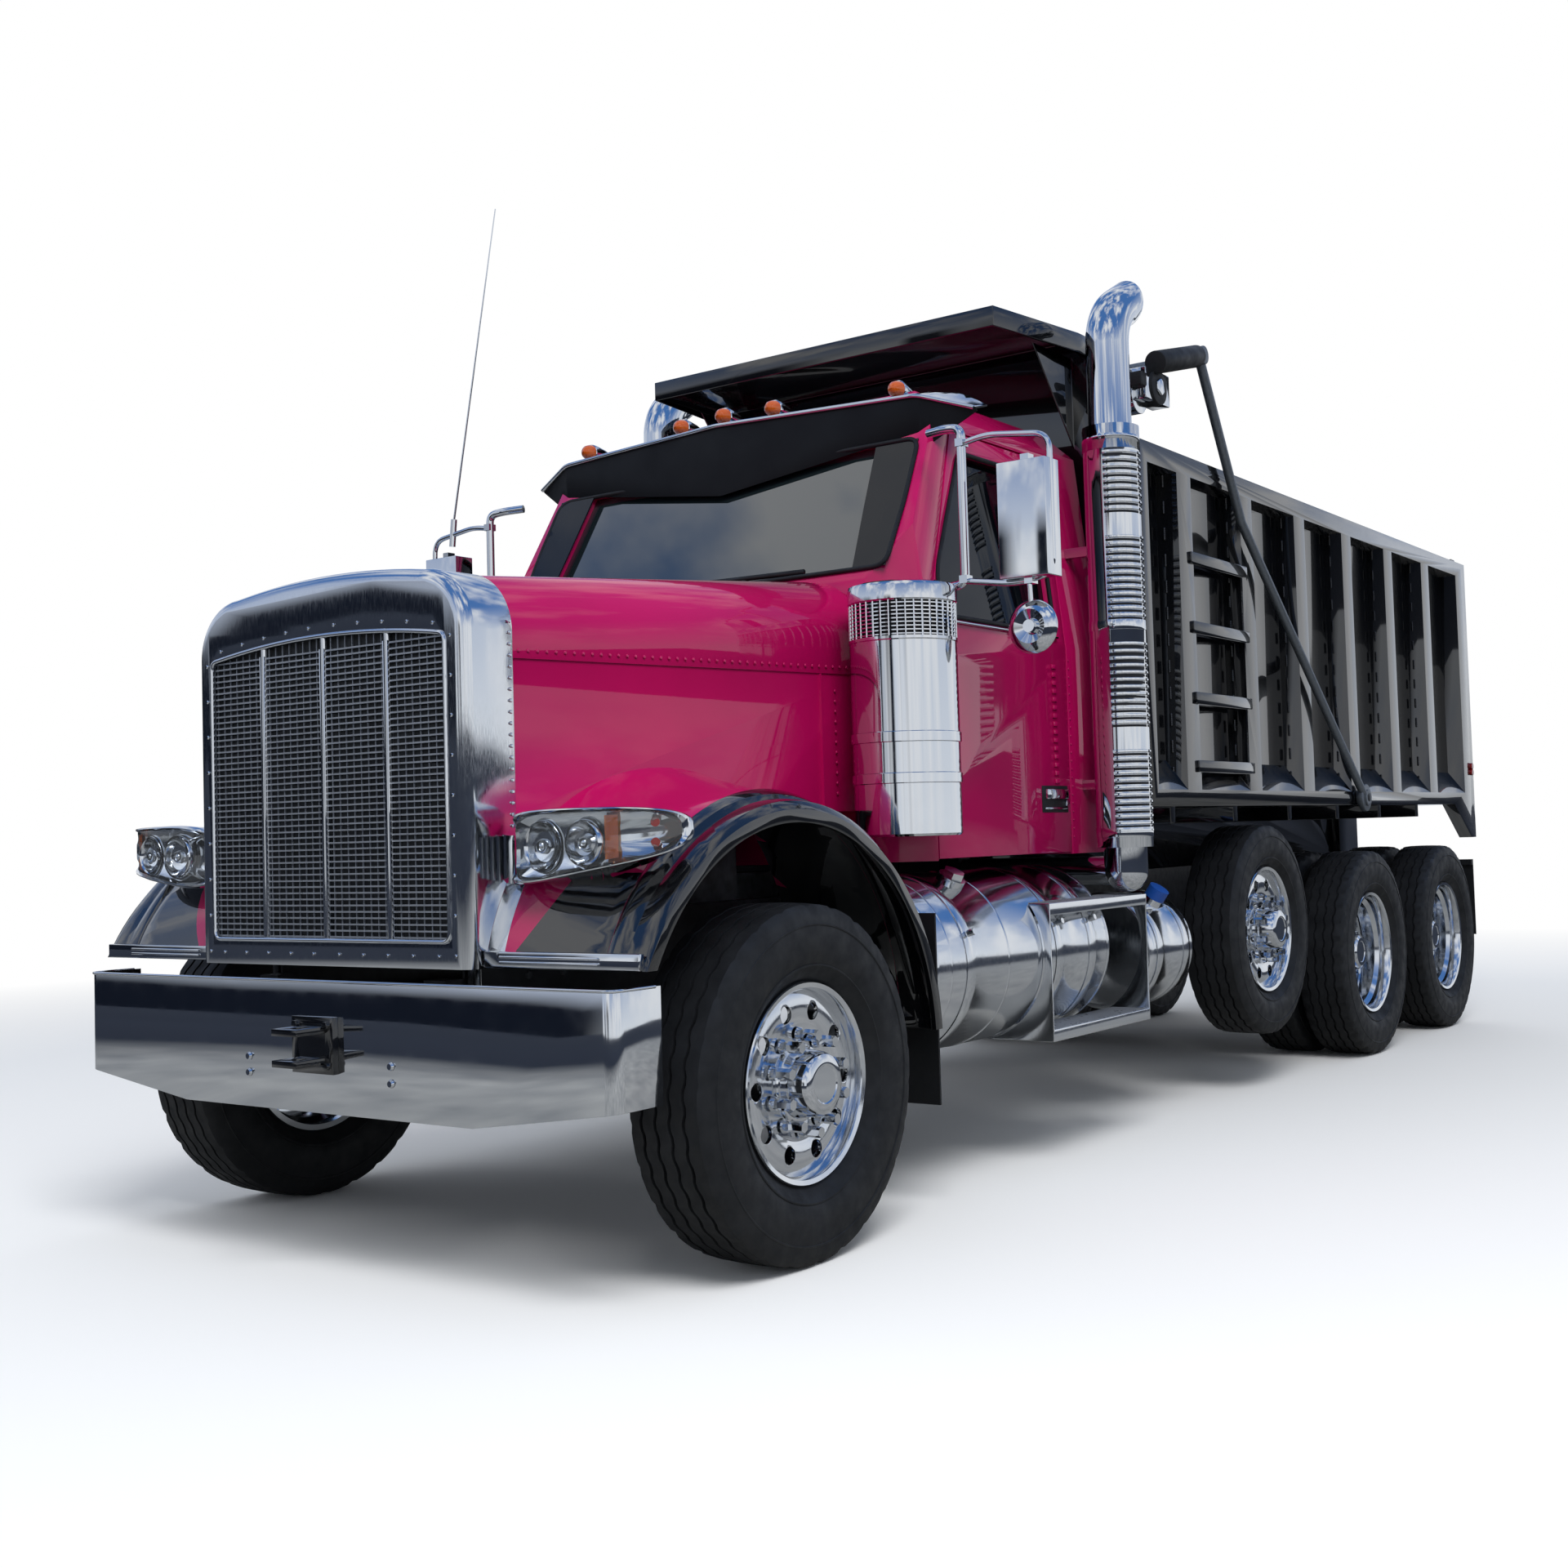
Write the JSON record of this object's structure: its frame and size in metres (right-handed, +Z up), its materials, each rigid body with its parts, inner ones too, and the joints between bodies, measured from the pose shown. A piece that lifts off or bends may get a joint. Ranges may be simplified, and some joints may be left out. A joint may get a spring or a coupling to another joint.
{
  "type": "tri-axle dump truck",
  "caption": "Long-nose dump truck with a ribbed tipping bed, tilting hood, opening doors and a raised pusher axle.",
  "frame": {"origin": "on the road below the middle of the truck's length and width", "axes": "+X to the vehicle's left, -Y forward, +Z up"},
  "size_m": [3.0758, 8.43, 4.0504],
  "materials": {
    "tyre": "matte",
    "alloy": "polished",
    "chrome": "mirror",
    "red": "gloss",
    "black": "gloss",
    "frame_paint": "satin",
    "steel": "satin",
    "glass": "clear",
    "rubber": "matte",
    "trim": "matte",
    "amber": "gloss",
    "iron": "rough"
  },
  "bodies": {
    "chassis": {"air_cleaners": "chrome", "bumper": "chrome", "cab_glass": "glass", "cab_interior": "trim", "cab_shell": "red", "engine_block": "iron", "exhaust_stacks": "chrome", "frame": "frame_paint", "front_axle": "frame_paint", "hoist_base": "frame_paint", "marker_lamps": "amber", "mud_flaps": "rubber", "pusher_axle": "frame_paint", "radiator": "frame_paint", "side_steps": "alloy", "side_tanks": "alloy", "sun_visor": "chrome", "tandem_axles": "frame_paint", "tow_coupling": "frame_paint"},
    "hood": {"hood": "red", "fenders": "black", "crown": "chrome", "grille": "trim", "headlamp_pods": "chrome"},
    "bed": {"bed_floor": "black", "bed_sides": "black", "bed_front": "black", "tarp_roller": "alloy"},
    "tailgate": {"tailgate": "black"},
    "tarp_frame": {"tarp_arms": "steel"},
    "tie_rod": {"tie_rod": "frame_paint"},
    "hoist_barrel": {"hoist_barrel": "frame_paint"},
    "hoist_stage_1": {"hoist_stage_1": "steel"},
    "hoist_stage_2": {"hoist_stage_2": "steel"},
    "hoist_stage_3": {"hoist_stage_3": "steel"},
    "door_left": {"door_left": "red", "door_glass_left": "glass", "mirror_left": "chrome"},
    "knuckle_left": {"knuckle_left": "frame_paint"},
    "front_wheel_left": {"front_tyre_left": "tyre", "front_wheel_left": "alloy"},
    "pusher_wheel_left": {"pusher_tyre_left": "tyre", "pusher_wheel_left": "alloy"},
    "mid_wheels_left": {"mid_twin_tyres_left": "tyre", "mid_twin_wheels_left": "alloy"},
    "rear_wheels_left": {"rear_twin_tyres_left": "tyre", "rear_twin_wheels_left": "alloy"},
    "door_right": {"door_right": "red", "door_glass_right": "glass", "mirror_right": "chrome"},
    "knuckle_right": {"knuckle_right": "frame_paint"},
    "front_wheel_right": {"front_tyre_right": "tyre", "front_wheel_right": "alloy"},
    "pusher_wheel_right": {"pusher_tyre_right": "tyre", "pusher_wheel_right": "alloy"},
    "mid_wheels_right": {"mid_twin_tyres_right": "tyre", "mid_twin_wheels_right": "alloy"},
    "rear_wheels_right": {"rear_twin_tyres_right": "tyre", "rear_twin_wheels_right": "alloy"}
  },
  "joints": [
    {"name": "bed_tilt", "type": "hinge", "parent": "chassis", "child": "bed", "pos_m": [0, 3.735, 0.96], "axis": [-1, 0, 0], "range_deg": [0, 45]},
    {"name": "tailgate_swing", "type": "hinge", "parent": "bed", "child": "tailgate", "pos_m": [0, 4.185, 2.942], "axis": [1, 0, 0], "range_deg": [0, 70]},
    {"name": "hood_tilt", "type": "hinge", "parent": "chassis", "child": "hood", "pos_m": [0, -4.045, 0.7], "axis": [1, 0, 0], "range_deg": [0, 60]},
    {"name": "tarp_swing", "type": "hinge", "parent": "bed", "child": "tarp_frame", "pos_m": [0, 1.858, 1.392], "axis": [-1, 0, 0], "range_deg": [0, 95]},
    {"name": "door_left_swing", "type": "hinge", "parent": "chassis", "child": "door_left", "pos_m": [1.049, -2.185, 1.17], "axis": [0, 0, -1], "range_deg": [0, 40]},
    {"name": "door_right_swing", "type": "hinge", "parent": "chassis", "child": "door_right", "pos_m": [-1.049, -2.185, 1.17], "axis": [0, 0, 1], "range_deg": [0, 40]},
    {"name": "steer_left", "type": "hinge", "parent": "chassis", "child": "knuckle_left", "pos_m": [0.9, -3.285, 0.537], "axis": [0, 0, 1], "range_deg": [-28, 28]},
    {"name": "steer_right", "type": "hinge", "parent": "chassis", "child": "knuckle_right", "pos_m": [-0.9, -3.285, 0.537], "axis": [0, 0, 1], "range_deg": [-28, 28]},
    {"name": "tie_rod_pivot", "type": "hinge", "parent": "knuckle_left", "child": "tie_rod", "pos_m": [0.9, -3.055, 0.447], "axis": [0, 0, 1], "range_deg": [-28, 28]},
    {"name": "front_roll_left", "type": "hinge", "parent": "knuckle_left", "child": "front_wheel_left", "pos_m": [0, -3.285, 0.537], "axis": [1, 0, 0], "continuous": true},
    {"name": "pusher_roll_left", "type": "hinge", "parent": "chassis", "child": "pusher_wheel_left", "pos_m": [0, 0.576, 0.761], "axis": [1, 0, 0], "continuous": true},
    {"name": "mid_roll_left", "type": "hinge", "parent": "chassis", "child": "mid_wheels_left", "pos_m": [0, 1.965, 0.552], "axis": [1, 0, 0], "continuous": true},
    {"name": "rear_roll_left", "type": "hinge", "parent": "chassis", "child": "rear_wheels_left", "pos_m": [0, 3.35, 0.552], "axis": [1, 0, 0], "continuous": true},
    {"name": "front_roll_right", "type": "hinge", "parent": "knuckle_right", "child": "front_wheel_right", "pos_m": [0, -3.285, 0.537], "axis": [1, 0, 0], "continuous": true},
    {"name": "pusher_roll_right", "type": "hinge", "parent": "chassis", "child": "pusher_wheel_right", "pos_m": [0, 0.576, 0.761], "axis": [1, 0, 0], "continuous": true},
    {"name": "mid_roll_right", "type": "hinge", "parent": "chassis", "child": "mid_wheels_right", "pos_m": [0, 1.965, 0.552], "axis": [1, 0, 0], "continuous": true},
    {"name": "rear_roll_right", "type": "hinge", "parent": "chassis", "child": "rear_wheels_right", "pos_m": [0, 3.35, 0.552], "axis": [1, 0, 0], "continuous": true},
    {"name": "hoist_swing", "type": "hinge", "parent": "chassis", "child": "hoist_barrel", "pos_m": [0, -0.645, 1.12], "axis": [-1, 0, 0], "range_deg": [0, 31.24]},
    {"name": "hoist_slide_1", "type": "slide", "parent": "hoist_barrel", "child": "hoist_stage_1", "axis": [0, 0, 1], "range_m": [0, 1.0953]},
    {"name": "hoist_slide_2", "type": "slide", "parent": "hoist_stage_1", "child": "hoist_stage_2", "axis": [0, 0, 1], "range_m": [0, 1.0953]},
    {"name": "hoist_slide_3", "type": "slide", "parent": "hoist_stage_2", "child": "hoist_stage_3", "axis": [0, 0, 1], "range_m": [0, 1.0953]}
  ],
  "couplings": [
    {"joint": "steer_right", "follows": "steer_left", "ratio": 1},
    {"joint": "tie_rod_pivot", "follows": "steer_left", "ratio": -1},
    {"joint": "hoist_swing", "follows": "bed_tilt", "ratio": 0.69405},
    {"joint": "hoist_slide_1", "follows": "bed_tilt", "m_per_rad": 1.3943},
    {"joint": "hoist_slide_2", "follows": "bed_tilt", "m_per_rad": 1.3943},
    {"joint": "hoist_slide_3", "follows": "bed_tilt", "m_per_rad": 1.3943}
  ]
}
